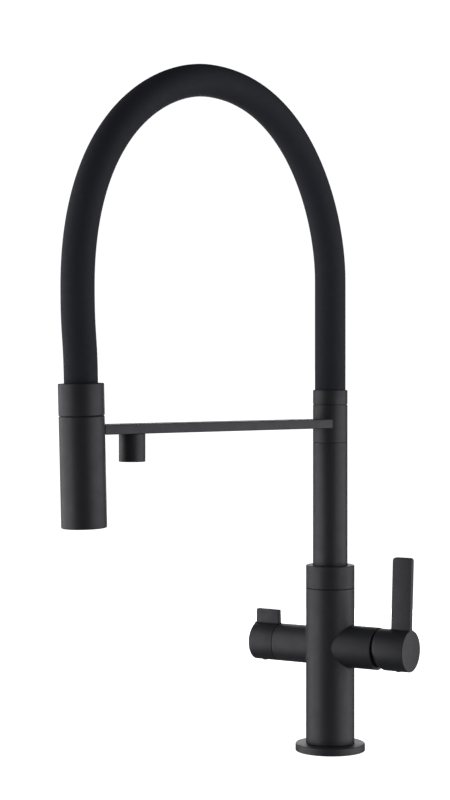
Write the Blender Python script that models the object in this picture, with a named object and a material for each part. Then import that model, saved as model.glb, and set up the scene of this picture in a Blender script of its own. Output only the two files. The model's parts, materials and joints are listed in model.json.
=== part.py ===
"""Semi-professional three-way kitchen tap: a matt black deck tap with a mixer lever on one side, a
filtered-water lever on the other, and a spray head on a sleeved hose, docked on a swivelling arm.

Values are in millimetres and are turned into metres by MM. The frame stands on the deck at the
origin with +Z up, the valves on the X axis and the user on the -Y side. Parts of the spout are
modelled with local +X along the arm and hang on an empty that turns them to the resting angle.
Parts of a valve are modelled with local +Z pointing away from the body.
"""

from math import cos, pi, radians, sin, tan

import bmesh
import bpy
from mathutils import Vector
from mathutils.geometry import interpolate_bezier

MM = 0.001
GAP = 0.3                       # clearance between neighbouring pieces
FINE, PLAIN, SMALL, TINY = 28, 14, 10, 6  # sides of visible and inner rounds, and of holes

# Base and body
FLANGE_R, FLANGE_TOP = 27.8, 5.8
BODY_R, BODY_BORE = 19.4, 15.6
SHELL_LOW, SHELL_TOP = 6.1, 129.9
RING_LOW, RING_TOP = 130.2, 148.0
MANIFOLD_R, MANIFOLD_LOW, MANIFOLD_TOP = 15.3, 52.0, 116.0
SOCKET_LOW, WASHER_TOP = 101.5, 118.0
PORT_CIRCLE, PORT_R, PORT_DEPTH = 9.2, 4.7, 5.0
PORT_ANGLES = {"filtered": 90, "cold": 210, "hot": 330}
TUBE_R, TUBE_BORE, TUBE_ENTRY = 4.0, 2.8, 3.0
FILTERED_R = 3.0

# Valves, whose lengths count from the body's axis
MIXER_Z, FILTER_Z = 84.0, 83.0
MIXER_STUB_R, MIXER_STUB_END, MIXER_BORE = 16.7, 43.5, 14.2
MIXER_SEAT, TILT_PIVOT = 10.0, 31.0
HANDLE_R, HANDLE_LOW, HANDLE_END = 16.3, 46.7, 71.9
FILTER_STUB_R, FILTER_STUB_END, FILTER_BORE = 15.0, 45.8, 12.4
FILTER_SEAT = 12.5
KNOB_LOW, KNOB_END = 46.1, 67.4
MIXER_PADDLE_LOW, MIXER_PADDLE_TIP, MIXER_PADDLE_HALF, MIXER_PADDLE_LEAN = 55.3, 73.0, 2.3, 1.5
FILTER_PADDLE_TIP, FILTER_PADDLE_HALF = 26.0, 2.4
MIXER_SCREW_AT, FILTER_SCREW_AT, SCREW_R = 61.0, 60.0, 2.4
STEM_R, STEM_END, SPINDLE_END = 4.0, 66.0, 64.0

# Riser and swivel collar
SPOUT_SWING = 17.0              # resting swing from straight ahead towards the filter lever
RISER_R, RISER_BORE = 13.85, 11.3
RISER_LOW, RISER_TOP = 121.6, 245.7
COLLAR_LOW, COLLAR_TOP, COLLAR_BORE = 246.0, 275.8, 10.2
COUPLING_LOW, COUPLING_TOP = 276.4, 287.8
SPINDLE_R, NIPPLE_R, NIPPLE_TOP = 9.8, 5.8, 288.0

# Arm and its outlet
REACH = 248.5
ARM_LOW, ARM_TOP, ARM_WIDTH = 257.6, 264.7, 23.2
ARM_MID = (ARM_LOW + ARM_TOP) / 2
OUTLET_AT, OUTLET_R, OUTLET_LOW = 202.7, 9.75, 237.0

# Hose
SLEEVE_R, SLEEVE_BORE = 12.25, 10.6
HOSE_R, HOSE_BORE = 6.0, 4.2
FERRULE_R, BARB_R, BARB_BORE = 7.2, 3.3, 2.3
SLEEVE_START, SLEEVE_END, HOSE_END = 284.3, 280.6, 278.4
COIL_R, WIRE_R, COIL_PITCH, COIL_START, COIL_END = 8.7, 0.9, 20.0, 307.0, 297.0
ARCH_STEPS = (10, 10, 4)        # stations on the rise, the fall and the return to upright

# Spray head
HEAD_LEAN = 1.6                 # the docked head leans outwards by this angle at its top
HEAD_R, HEAD_BORE, HEAD_LOW, HEAD_TOP = 16.5, 14.0, 191.0, 271.1
HEAD_COLLAR_R, HEAD_COLLAR_LOW, HEAD_COLLAR_TOP = 16.6, 271.4, 294.5
SPRAY_HOLES, SPRAY_CIRCLE, SPRAY_R = 8, 9.6, 1.0


# ---------------------------------------------------------------------------------- materials

def material(name, colour, roughness, metallic=0.0):
    made = bpy.data.materials.new(name)
    made.use_nodes = True
    shader = made.node_tree.nodes["Principled BSDF"]
    shader.inputs["Base Color"].default_value = (*colour, 1.0)
    shader.inputs["Roughness"].default_value = roughness
    shader.inputs["Metallic"].default_value = metallic
    return made


FINISHES = {
    "black_coat": ((0.018, 0.018, 0.020), 0.45, 0.0),
    "silicone": ((0.020, 0.021, 0.024), 0.60, 0.0),
    "brass": ((0.72, 0.53, 0.25), 0.30, 1.0),
    "steel": ((0.62, 0.62, 0.63), 0.28, 1.0),
    "rubber": ((0.02, 0.02, 0.02), 0.80, 0.0),
    "white_plastic": ((0.78, 0.78, 0.75), 0.45, 0.0),
    "grey_plastic": ((0.25, 0.26, 0.28), 0.50, 0.0),
    "black_plastic": ((0.030, 0.030, 0.030), 0.45, 0.0),
    "ceramic": ((0.88, 0.86, 0.82), 0.25, 0.0),
    "magnet": ((0.35, 0.35, 0.37), 0.35, 1.0),
    "copper": ((0.80, 0.45, 0.30), 0.30, 1.0),
}


def finish(name, kind):
    """Give a piece a material of its own, with the values of one of the finishes."""
    colour, roughness, metallic = FINISHES[kind]
    return material(name + "_finish", colour, roughness, metallic)


# ---------------------------------------------------------------------------------- tools

def clear_scene():
    for old in list(bpy.data.objects):
        bpy.data.objects.remove(old, do_unlink=True)


def empty(name, parent=None, at=(0, 0, 0), turn=(0, 0, 0)):
    made = bpy.data.objects.new(name, None)
    made.empty_display_size = 0.02
    made.location = Vector(at) * MM
    made.rotation_euler = [radians(angle) for angle in turn]
    made.parent = parent
    bpy.context.collection.objects.link(made)
    return made


def from_bmesh(name, shape, kind, parent, at=(0, 0, 0)):
    """Close a bmesh drawn in millimetres into an object; kind None makes a cutter."""
    bmesh.ops.scale(shape, vec=(MM, MM, MM), verts=shape.verts)
    bmesh.ops.remove_doubles(shape, verts=shape.verts, dist=1e-7)
    bmesh.ops.recalc_face_normals(shape, faces=shape.faces)
    mesh = bpy.data.meshes.new(name)
    shape.to_mesh(mesh)
    shape.free()
    mesh.shade_smooth()
    mesh.set_sharp_from_angle(angle=radians(32))
    made = bpy.data.objects.new(name, mesh)
    made.location = Vector(at) * MM
    made.parent = parent
    bpy.context.collection.objects.link(made)
    if kind is None:
        made.hide_render = True
        made.display_type = "WIRE"
    else:
        mesh.materials.append(finish(name, kind))
    return made


def turned(name, outline, kind, parent=None, sides=PLAIN, at=(0, 0, 0)):
    """Turn an outline of (radius, height) points about the local Z axis.

    An outline that starts and ends on the axis is a solid piece, any other one is a closed ring.
    """
    shape = bmesh.new()
    points = [shape.verts.new((radius, 0, height)) for radius, height in outline]
    edges = [shape.edges.new(pair) for pair in zip(points, points[1:])]
    if outline[0][0] > 0 or outline[-1][0] > 0:
        edges.append(shape.edges.new((points[-1], points[0])))
    bmesh.ops.spin(shape, geom=points + edges, cent=(0, 0, 0), axis=(0, 0, 1), angle=2 * pi,
                   steps=sides, use_merge=True, use_duplicate=False)
    return from_bmesh(name, shape, kind, parent, at)


def ring(inner, outer, low, high):
    return [(inner, low), (outer, low), (outer, high), (inner, high)]


def disc(radius, low, high):
    return [(0, low), (radius, low), (radius, high), (0, high)]


def block(name, low, high, kind, parent=None, top_scale=1.0, lean=0.0):
    """A box between two corners; top_scale narrows its local +X face across Y.

    Its local -X face is pushed along +Z by lean.
    """
    shape = bmesh.new()
    bmesh.ops.create_cube(shape, size=1.0)
    low, high = Vector(low), Vector(high)
    for corner in shape.verts:
        share = corner.co + Vector((0.5, 0.5, 0.5))
        narrow = top_scale if share.x > 0.5 else 1.0
        corner.co = Vector((low.x + (high.x - low.x) * share.x,
                            (low.y + (high.y - low.y) * share.y) * narrow,
                            low.z + (high.z - low.z) * share.z + lean * (1 - share.x)))
    return from_bmesh(name, shape, kind, parent)


def bores(name, outline, parent=None, at=(0, 0, 0), turn=(0, 0, 0), sides=SMALL, places=((0, 0),)):
    """One cutter of turned outlines side by side, at (x, y) places across its local +Z.

    They start at an odd angle, so that their edges don't fall on the edges of the piece they cut.
    """
    shape = bmesh.new()
    phase = 0.37 * pi / sides
    for x, y in places:
        points = [shape.verts.new((x + radius * cos(phase), y + radius * sin(phase), height))
                  for radius, height in outline]
        edges = [shape.edges.new(pair) for pair in zip(points, points[1:])]
        bmesh.ops.spin(shape, geom=points + edges, cent=(x, y, 0), axis=(0, 0, 1), angle=2 * pi,
                       steps=sides, use_merge=True, use_duplicate=False)
    cutter = from_bmesh(name, shape, None, parent, at)
    cutter.rotation_euler = [radians(angle) for angle in turn]
    return cutter


def hole(name, radius, length, parent, at, turn=(0, 0, 0), sides=SMALL):
    """A round cutter that starts at a point and runs along its turned local +Z."""
    return bores(name, disc(radius, 0, length), parent, at, turn, sides)


def stepped(*steps):
    """An outline of rising (radius, low, high) steps."""
    return [(0, steps[0][1])] + [point for radius, low, high in steps
                                 for point in ((radius, low), (radius, high))] + [(0, steps[-1][2])]


def combine(target, tool, operation):
    if target.modifiers:
        target.modifiers.new("flat_faces", "TRIANGULATE")
    step = target.modifiers.new(tool.name, "BOOLEAN")
    step.operation = operation
    step.object = tool
    tool.hide_render = True
    tool.display_type = "WIRE"


def cut(target, *cutters):
    for cutter in cutters:
        combine(target, cutter, "DIFFERENCE")


def join(target, *additions):
    for addition in additions:
        combine(target, addition, "UNION")


def around(count, radius, start=0.0):
    """Evenly spaced (x, y) points on a circle."""
    angles = [radians(start) + 2 * pi * step / count for step in range(count)]
    return [(radius * cos(angle), radius * sin(angle)) for angle in angles]


def o_ring(name, centre_r, section_r, height, parent):
    turns = [2 * pi * step / TINY for step in range(TINY)]
    section = [(centre_r + section_r * cos(turn), height + section_r * sin(turn)) for turn in turns]
    return turned(name, section, "rubber", parent)


# ---------------------------------------------------------------------------------- base and body

def make_base():
    groove_low, groove_high, groove_top = 21.4, 25.6, 2.2
    turned("base_flange", [(BODY_BORE, 0), (groove_low, 0), (groove_low, groove_top),
                           (groove_high, groove_top), (groove_high, 0), (FLANGE_R, 0),
                           (FLANGE_R, FLANGE_TOP - 0.8), (FLANGE_R - 0.8, FLANGE_TOP),
                           (BODY_BORE, FLANGE_TOP)], "black_coat", sides=FINE)
    turned("flange_seal", ring(groove_low + GAP, groove_high - GAP, 0, groove_top - GAP), "rubber",
           sides=FINE)


def port_places():
    return {name: (PORT_CIRCLE * cos(radians(angle)), PORT_CIRCLE * sin(radians(angle)))
            for name, angle in PORT_ANGLES.items()}


def make_inlets():
    """The brass plug that the supply hoses screw into, and the tubes that rise from it."""
    plug_top, seat = 12.0, 7.5
    plug = turned("inlet_plug", disc(MANIFOLD_R, 0, plug_top), "brass")
    way = stepped((PORT_R, -1, PORT_DEPTH), (TUBE_BORE, PORT_DEPTH, seat),
                  (TUBE_R + GAP, seat, plug_top + 1))
    cut(plug, bores("inlet_ways_cut", way, sides=12, places=port_places().values()))
    for name, (x, y) in port_places().items():
        turned(name + "_inlet_tube", ring(TUBE_BORE, TUBE_R, seat + GAP, MANIFOLD_LOW + TUBE_ENTRY - GAP),
               "copper", sides=SMALL, at=(x, y, 0))


def make_manifold():
    """The drilled block that takes water from the tubes to both valves and on to the riser."""
    drilling_r, core_r, socket_r, mixed_at = 2.0, 3.3, 12.0, 7.4
    entry_top = MANIFOLD_LOW + TUBE_ENTRY
    manifold = turned("manifold_block", disc(MANIFOLD_R, MANIFOLD_LOW, MANIFOLD_TOP), "brass")
    tube_way = stepped((TUBE_R + GAP, MANIFOLD_LOW - 1, entry_top), (drilling_r, entry_top, MIXER_Z))
    riser_way = stepped((core_r, MIXER_Z, SOCKET_LOW), (socket_r, SOCKET_LOW, MANIFOLD_TOP + 1))
    filter_way = stepped((2.4, 2, FILTER_SEAT), (9.6, FILTER_SEAT, 30))
    cut(manifold,
        bores("tube_ways_cut", tube_way, places=port_places().values()),
        bores("riser_socket_cut", riser_way, sides=PLAIN),
        hole("mixed_rise_cut", 2.4, 20, None, (mixed_at, 0, MIXER_Z), sides=TINY),
        hole("mixer_seat_cut", 14.0, 20, None, (MIXER_SEAT, 0, MIXER_Z), (0, 90, 0), PLAIN),
        hole("mixed_port_cut", drilling_r, 8, None, (5.0, 0, MIXER_Z + 5.5), (0, 90, 0), TINY),
        bores("filter_seat_cut", filter_way, None, (0, 0, FILTER_Z), (0, -90, 0)))


def make_body():
    shell = turned("body_shell", disc(BODY_R, SHELL_LOW, SHELL_TOP), "black_coat", sides=FINE)
    inset = 5.0                 # each stub starts this far from the axis, inside the body
    right, left = (inset, 0, MIXER_Z), (-inset, 0, FILTER_Z)
    join(shell,
         hole("mixer_stub", MIXER_STUB_R, MIXER_STUB_END - inset, None, right, (0, 90, 0), FINE),
         hole("filter_stub", FILTER_STUB_R, FILTER_STUB_END - inset, None, left, (0, -90, 0), FINE))
    cut(shell,
        hole("body_bore_cut", BODY_BORE, 140, None, (0, 0, 0), sides=FINE),
        hole("mixer_bore_cut", MIXER_BORE, 60, None, right, (0, 90, 0), FINE),
        hole("filter_bore_cut", FILTER_BORE, 60, None, left, (0, -90, 0), FINE))

    lip_low, lip_r, edge = RING_TOP - 4, RISER_R + GAP, 0.5
    bush_seat = BODY_BORE - GAP
    turned("body_top_ring", [(bush_seat, RING_LOW), (BODY_R, RING_LOW), (BODY_R, RING_TOP - edge),
                             (BODY_R - edge, RING_TOP), (lip_r, RING_TOP), (lip_r, lip_low),
                             (bush_seat, lip_low)], "black_coat", sides=FINE)
    turned("swivel_bush", ring(lip_r, bush_seat - GAP, RISER_LOW + GAP, lip_low - GAP), "white_plastic",
           sides=FINE)
    turned("thrust_washer", ring(12.3, 14.6, MANIFOLD_TOP + GAP, WASHER_TOP), "white_plastic")


# ---------------------------------------------------------------------------------- mixer valve

def make_mixer(axis, tilt):
    """Single-lever mixer cartridge; local +Z leads away from the body and local +X points down."""
    seal_r, foot_r, wall_r, inside_r, plate_r, moving_r = 10.6, 10.8, 13.8, 11.7, 11.2, 8.6
    seal_top, foot_top, floor_top, mouth = 11.5, 16.6, 20.0, 39.0
    fixed_top, moving_top, rotor_top, nut_top = 23.0, 27.0, 38.5, 45.8
    way_r, way_circle = 2.0, 5.5
    seal = turned("mixer_cartridge_seal", disc(seal_r, MIXER_SEAT + GAP, seal_top), "rubber", axis)
    housing = turned("mixer_cartridge_housing",
                     [(0, seal_top + GAP), (foot_r, seal_top + GAP), (foot_r, foot_top), (wall_r, foot_top),
                      (wall_r, mouth), (inside_r, mouth), (inside_r, floor_top), (0, floor_top)],
                     "white_plastic", axis)
    fixed = turned("mixer_fixed_disc", disc(plate_r, floor_top + GAP, fixed_top), "ceramic", axis)
    waterways = bores("cartridge_ways_cut", disc(way_r, 9.5, fixed_top + 0.2), axis, sides=TINY,
                      places=around(3, way_circle))
    for piece in (seal, housing, fixed):
        cut(piece, waterways)
    turned("cartridge_nut", ring(11.0, MIXER_BORE - 2 * GAP, mouth + 0.4, nut_top), "black_coat", axis, FINE)

    pocket_r, socket_r, socket_depth = 4.2, 2.5, 2.1
    moving = turned("mixer_moving_disc", disc(moving_r, fixed_top + GAP, moving_top), "ceramic", axis)
    cut(moving,
        hole("disc_pocket_cut", pocket_r, 1.2, axis, (1.5, 0, fixed_top)),
        hole("disc_socket_cut", socket_r, 3, axis, (0, 0, moving_top - socket_depth)))

    slot_up, slot_down, slot_half, pin_r, pin_hole_r = 4.8, 6.4, 3.1, 1.0, 1.35
    rotor = turned("cartridge_rotor", disc(plate_r, moving_top + GAP, rotor_top), "grey_plastic", axis)
    slot = block("rotor_slot_cut", (-slot_up, -slot_half, 26), (slot_down, slot_half, 40), None, axis)
    cut(rotor, slot, hole("rotor_pin_cut", pin_hole_r, 18, axis, (0, -9, TILT_PIVOT), (-90, 0, 0), TINY))
    pin = turned("stem_pivot_pin", disc(pin_r, -8.6, 8.6), "steel", axis, TINY, (0, 0, TILT_PIVOT))
    pin.rotation_euler = (pi / 2, 0, 0)
    make_stem(tilt, pin_hole_r)
    make_handle(tilt)


def make_stem(tilt, pin_hole_r):
    """The lever stem, whose foot pushes the moving disc; heights count from its pivot."""
    foot, ball_top, neck_top, end = -5.7, -3.0, 11.0, STEM_END - TILT_PIVOT
    foot_r, neck_r = 1.3, 2.6
    stem = turned("lever_stem", [(0, foot), (foot_r, foot), (foot_r, ball_top), (neck_r, ball_top),
                                 (neck_r, neck_top), (STEM_R, neck_top), (STEM_R, end), (0, end)],
                  "steel", tilt)
    cut(stem, hole("stem_pin_cut", pin_hole_r, 12, tilt, (0, -6, 0), (-90, 0, 0), TINY))


def make_handle(tilt):
    """The handle cup with its upright paddle; heights count from the stem's pivot."""
    low, end, roof = HANDLE_LOW - TILT_PIVOT, HANDLE_END - TILT_PIVOT, STEM_END + GAP - TILT_PIVOT
    cavity, hub, hub_r, edge = HANDLE_R - 2.0, low + 4.5, STEM_R + GAP, 0.5
    chamfer_deep, chamfer_long, rim_reach = 1.6, 4.0, 1.9
    handle = turned("mixer_handle",
                    [(0, roof), (hub_r, roof), (hub_r, hub), (cavity, hub), (cavity, low),
                     (HANDLE_R - chamfer_deep, low), (HANDLE_R, low + chamfer_long),
                     (HANDLE_R, end - edge), (HANDLE_R - edge, end), (0, end)], "black_coat", tilt, FINE)
    shape_rim(handle, low, chamfer_deep, chamfer_long, rim_reach)
    join(handle, block("mixer_paddle",
                       (-MIXER_PADDLE_TIP, -MIXER_PADDLE_HALF, MIXER_PADDLE_LOW - TILT_PIVOT),
                       (-HANDLE_R + 2, MIXER_PADDLE_HALF, end - 0.1), None, tilt, lean=MIXER_PADDLE_LEAN))
    screw_at = MIXER_SCREW_AT - TILT_PIVOT
    cut(handle, hole("mixer_screw_cut", SCREW_R + GAP, 20, tilt, (hub_r - 0.2, 0, screw_at), (0, 90, 0)))
    set_screw("mixer", tilt, screw_at, hub_r, HANDLE_R, 1)


def shape_rim(handle, low, deep, long, reach):
    """Let the rim's chamfer shrink from its full size underneath to a tenth of it on top.

    The rim's outer edge reaches out towards the body, except near its lowest point.
    """
    for vert in handle.data.vertices:
        radius, height = vert.co.xy.length / MM, vert.co.z / MM
        on_rim = abs(height - low) < 0.01 and radius > HANDLE_R - deep - 0.01
        on_skin = abs(height - low - long) < 0.01
        if on_rim or on_skin:
            downward = vert.co.x / vert.co.xy.length
            share = 0.55 + 0.45 * downward
            rim = low - reach * min(1, max(0, 1 - downward / 0.4))
            wanted = HANDLE_R - deep * share if on_rim else HANDLE_R
            vert.co.xy *= wanted / radius
            vert.co.z = (rim if on_rim else rim + long * share) * MM
    handle.modifiers.new("flat_faces", "TRIANGULATE")


def set_screw(name, parent, height, stem_r, skin_r, side):
    """The hidden screw that clamps a handle to its stem, and the cap that closes its hole."""
    cap_low, cap_high = skin_r - 3.8, skin_r + 0.5
    for part, low, high, kind in (("set_screw", stem_r, cap_low - GAP, "steel"),
                                  ("screw_cap", cap_low, cap_high, "black_coat")):
        piece = turned(f"{name}_{part}", disc(SCREW_R, low, high), kind, parent, SMALL, (0, 0, height))
        piece.rotation_euler = (0, side * pi / 2, 0)


# ---------------------------------------------------------------------------------- filter valve

def make_filter_valve(axis):
    """Quarter-turn ceramic valve; local +Z leads away from the body and local +X points up."""
    seal_top, floor_top, collar_low, collar_top, mouth = 14.0, 18.5, 30.0, 36.0, 42.0
    body_r, collar_r, chamber_r, shaft_r, disc_r = 8.0, 12.0, 5.4, 3.3, 5.0
    chamber_top, foot_top, fixed_top, moving_top = 30.5, 30.2, 21.0, 23.5
    bearing_r = shaft_r + GAP
    turned("filter_valve_seal", ring(3.2, 7.0, FILTER_SEAT + GAP, seal_top), "rubber", axis)
    housing = turned("filter_valve_housing",
                     [(0, seal_top + GAP), (body_r, seal_top + GAP), (body_r, collar_low),
                      (collar_r, collar_low), (collar_r, collar_top), (body_r, collar_top),
                      (body_r, mouth), (bearing_r, mouth), (bearing_r, chamber_top),
                      (chamber_r, chamber_top), (chamber_r, floor_top), (0, floor_top)], "brass", axis)
    cut(housing, hole("filter_inlet_cut", 2.4, 6, axis, (0, 0, 13.5)))
    for name, low, high in (("filter_fixed_disc", floor_top + GAP, fixed_top),
                            ("filter_moving_disc", fixed_top + GAP, moving_top)):
        plate = turned(name, disc(disc_r, low, high), "ceramic", axis)
        cut(plate, hole(name + "_way", 1.6, 4, axis, (0, 2.4, low - 1), sides=TINY))
    turned("filter_spindle", [(0, moving_top + GAP), (disc_r, moving_top + GAP), (disc_r, foot_top),
                              (shaft_r, foot_top), (shaft_r, SPINDLE_END), (0, SPINDLE_END)],
           "brass", axis, SMALL)

    cavity, hub, roof, edge = FILTER_STUB_R - 2.3, 52.0, SPINDLE_END + GAP, 0.5
    knob = turned("filter_knob",
                  [(0, roof), (bearing_r, roof), (bearing_r, hub), (cavity, hub), (cavity, KNOB_LOW),
                   (FILTER_STUB_R, KNOB_LOW), (FILTER_STUB_R, KNOB_END - edge),
                   (FILTER_STUB_R - edge, KNOB_END), (0, KNOB_END)], "black_coat", axis, FINE)
    join(knob, block("filter_paddle", (FILTER_STUB_R - 2, -FILTER_PADDLE_HALF, KNOB_LOW),
                     (FILTER_PADDLE_TIP, FILTER_PADDLE_HALF, KNOB_END), None, axis, 0.8))
    cut(knob, hole("filter_screw_cut", SCREW_R + GAP, 20, axis, (0.2 - bearing_r, 0, FILTER_SCREW_AT),
                   (0, -90, 0)))
    set_screw("filter", axis, FILTER_SCREW_AT, bearing_r, FILTER_STUB_R, -1)


# ---------------------------------------------------------------------------------- riser

def grooved(outline, radius, groove_r, half, heights):
    """Add O-ring grooves at rising heights to an outline that runs up a cylinder."""
    for height in heights:
        outline += [(radius, height - half), (groove_r, height - half), (groove_r, height + half),
                    (radius, height + half)]
    return outline


def make_riser(spout):
    low, top, bore, plug_r, shoulder_r = 102.0, 134.0, 7.0, 11.5, 14.6
    heights, groove_r, section_r, skirt_r = (105.5, 111.5), 9.4, 0.95, RISER_BORE - GAP
    outline = grooved([(bore, low), (plug_r, low)], plug_r, groove_r, 1.4, heights)
    outline += [(plug_r, WASHER_TOP + GAP), (shoulder_r, WASHER_TOP + GAP), (shoulder_r, RISER_LOW - GAP),
                (skirt_r, RISER_LOW - GAP), (skirt_r, top), (bore, top)]
    turned("riser_spigot", outline, "brass", spout)
    for name, height in zip(("spigot_o_ring_low", "spigot_o_ring_high"), heights):
        o_ring(name, groove_r + GAP + section_r, section_r, height, spout)

    turned("riser_tube", ring(RISER_BORE, RISER_R, RISER_LOW, RISER_TOP), "black_coat", spout, FINE)
    turned("filtered_riser_tube", ring(2.0, FILTERED_R, 97.0, 240.0), "copper", spout, SMALL)
    make_spindle(spout)


def make_spindle(spout):
    """The fixed core that the collar turns on: it splits filtered water off to the arm."""
    low, skirt_r, shoulder = 224.0, RISER_BORE - GAP, RISER_TOP - GAP
    heights, groove_r, section_r = (250.0, 271.0), 7.7, 0.9
    outline = grooved([(0, low), (skirt_r, low), (skirt_r, shoulder), (SPINDLE_R, shoulder)],
                      SPINDLE_R, groove_r, 1.3, heights)
    outline += [(SPINDLE_R, COLLAR_TOP), (NIPPLE_R, COLLAR_TOP), (NIPPLE_R, NIPPLE_TOP), (0, NIPPLE_TOP)]
    spindle = turned("collar_spindle", outline, "brass", spout)
    gallery, gather = 258.0, 264.0
    cut(spindle,
        hole("filtered_rise_top_cut", FILTERED_R + 0.4, 36.5, spout, (0, 0, low - 1)),
        hole("filtered_cross_cut", 1.8, 12, spout, (0, 0, gallery), (0, 90, 0), TINY),
        hole("mixed_top_cut", 4.5, 30, spout, (0, 0, gather)),
        bores("mixed_ways_cut", disc(1.5, low - 1, gather + 4), spout, sides=TINY,
              places=around(3, 5.6, 60)))
    for name, height in zip(("spindle_o_ring_low", "spindle_o_ring_high"), heights):
        o_ring(name, groove_r + GAP + section_r, section_r, height, spout)


# ---------------------------------------------------------------------------------- arm

def make_arm(arm, head):
    seat_r, seat_top, gallery_r, gallery_low, gallery_top = 13.3, 247.3, 11.4, 255.0, 261.0
    lip_r, lip_top = RISER_R - 0.8, COUPLING_LOW - GAP
    collar = turned("swivel_collar",
                    [(seat_r, seat_top), (COLLAR_BORE, seat_top), (COLLAR_BORE, gallery_low),
                     (gallery_r, gallery_low), (gallery_r, gallery_top), (COLLAR_BORE, gallery_top),
                     (COLLAR_BORE, lip_top), (lip_r, lip_top), (lip_r, COLLAR_TOP),
                     (RISER_R, COLLAR_TOP), (RISER_R, COLLAR_LOW), (seat_r, COLLAR_LOW)],
                    "black_coat", arm, FINE)
    turned("collar_slide_washer", ring(COLLAR_BORE, seat_r - GAP, RISER_TOP + GAP, seat_top - GAP),
           "black_plastic", arm)

    spigot_r, spigot_z, channel_r, port_r = 2.5, ARM_MID, 1.8, 1.5
    cut(collar, hole("collar_port_cut", port_r, 6, arm, (10.8, 0, gallery_top - 1.7), (0, 90, 0)))

    bar = block("dock_arm", (0, -ARM_WIDTH / 2, ARM_LOW), (REACH, ARM_WIDTH / 2, ARM_TOP), "black_coat", arm)
    magnet_half, magnet_thick = 5.6, 3.8
    pocket_at, pocket_end = REACH - 26.5, REACH - 15
    pocket_low, pocket_top = ARM_MID - magnet_thick / 2 - GAP, ARM_MID + magnet_thick / 2 + GAP
    cut(bar,
        hole("arm_collar_cut", RISER_R + GAP, 20, arm, (0, 0, 250), sides=FINE),
        hole("arm_dock_cut", HEAD_R + GAP, 20, head, (0, 0, 250), sides=FINE),
        hole("arm_spigot_cut", spigot_r + GAP, 14, arm, (11, 0, spigot_z), (0, 90, 0)),
        hole("arm_channel_cut", channel_r, OUTLET_AT - 20, arm, (20, 0, spigot_z), (0, 90, 0), TINY),
        hole("arm_drop_cut", channel_r, 11.8, arm, (OUTLET_AT - 1.1, 0.1, 249), sides=8),
        block("magnet_pocket_cut", (pocket_at, -magnet_half - GAP, pocket_low),
              (pocket_end, magnet_half + GAP, pocket_top), None, arm))
    block("dock_magnet", (pocket_at + GAP, -magnet_half, pocket_low + GAP),
          (REACH - HEAD_R - 1.2, magnet_half, pocket_top - GAP), "magnet", arm)
    spigot = turned("arm_spigot", ring(1.5, spigot_r, RISER_R + 0.6, 24.7), "brass", arm, SMALL,
                    (0, 0, spigot_z))
    spigot.rotation_euler = (0, pi / 2, 0)
    make_outlet(arm)


def make_outlet(arm):
    """The filtered-water outlet under the arm, with the aerator in it."""
    roof, insert_top, bore, way_r, edge = ARM_LOW - GAP, 250.0, 8.3, 2.5, 0.3
    turned("filter_outlet", [(way_r, insert_top), (way_r, roof), (OUTLET_R, roof),
                             (OUTLET_R, OUTLET_LOW + edge), (OUTLET_R - edge, OUTLET_LOW),
                             (bore, OUTLET_LOW), (bore, insert_top)], "black_coat", arm, FINE,
           (OUTLET_AT, 0, 0))
    insert = turned("filter_aerator", disc(bore - GAP, OUTLET_LOW + 0.8, insert_top - GAP), "white_plastic",
                    arm, PLAIN, (OUTLET_AT, 0, 0))
    cut(insert, bores("aerator_ways_cut", disc(1.3, OUTLET_LOW - 1, insert_top + 1), arm, (OUTLET_AT, 0, 0),
                      sides=TINY, places=around(5, 4.6)))


# ---------------------------------------------------------------------------------- hose

def on_head_axis(height):
    """The point (x, z) of the leaning head's axis at a height, in the arm's plane."""
    return REACH + (height - ARM_MID) * tan(radians(HEAD_LEAN)), height


def hose_route(steps):
    """The hose's centre line in the arm's plane, from where it starts to bend to where it ends."""
    rise, apex, bulge = (0, 375), (128.5, 522.6), (252.5, 364.5)
    foot = on_head_axis(304)
    spans = ((rise, (0, 430), (36, 522.6), apex),
             (apex, (174.5, 522.6), (252.5, 483), bulge),
             (bulge, (252.5, 330.5), on_head_axis(330), foot))
    line = []
    for corners, count in zip(spans, steps):
        line += interpolate_bezier(*(Vector((x, 0, z)) for x, z in corners), count + 1)[:-1]
    return line + [Vector((foot[0], 0, foot[1]))]


def whole_route(start, end, steps=ARCH_STEPS):
    """The bends, with the straight stretches below them down to two heights."""
    last_x, last_z = on_head_axis(end)
    return [Vector((0, 0, start))] + hose_route(steps) + [Vector((last_x, 0, last_z))]


def stations(start, end, step):
    """Evenly spaced points along the whole route."""
    line = whole_route(start, end, (60, 60, 20))
    lengths = [0.0]
    for before, after in zip(line, line[1:]):
        lengths.append(lengths[-1] + (after - before).length)
    count = round(lengths[-1] / step)
    points, span = [], 0
    for index in range(count + 1):
        along = lengths[-1] * index / count
        while span < len(line) - 2 and lengths[span + 1] < along:
            span += 1
        share = (along - lengths[span]) / (lengths[span + 1] - lengths[span])
        points.append(line[span].lerp(line[span + 1], share))
    return points


def side_of(points, index):
    """The in-plane normal of a route at one of its points."""
    ahead = points[min(index + 1, len(points) - 1)] - points[max(index - 1, 0)]
    if index == 0:
        ahead = Vector((0, 0, 1))
    return Vector((ahead.z, 0, -ahead.x)).normalized()


def circle_at(shape, points, index, radius, sides):
    side = side_of(points, index)
    turns = [2 * pi * step / sides for step in range(sides)]
    return [shape.verts.new(points[index] + side * radius * cos(turn) + Vector((0, radius * sin(turn), 0)))
            for turn in turns]


def skin(shape, loops, closed=False):
    pairs = list(zip(loops, loops[1:]))
    if closed:
        pairs.append((loops[-1], loops[0]))
    for one, other in pairs:
        for step in range(len(one)):
            after = (step + 1) % len(one)
            shape.faces.new((one[step], one[after], other[after], other[step]))


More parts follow.
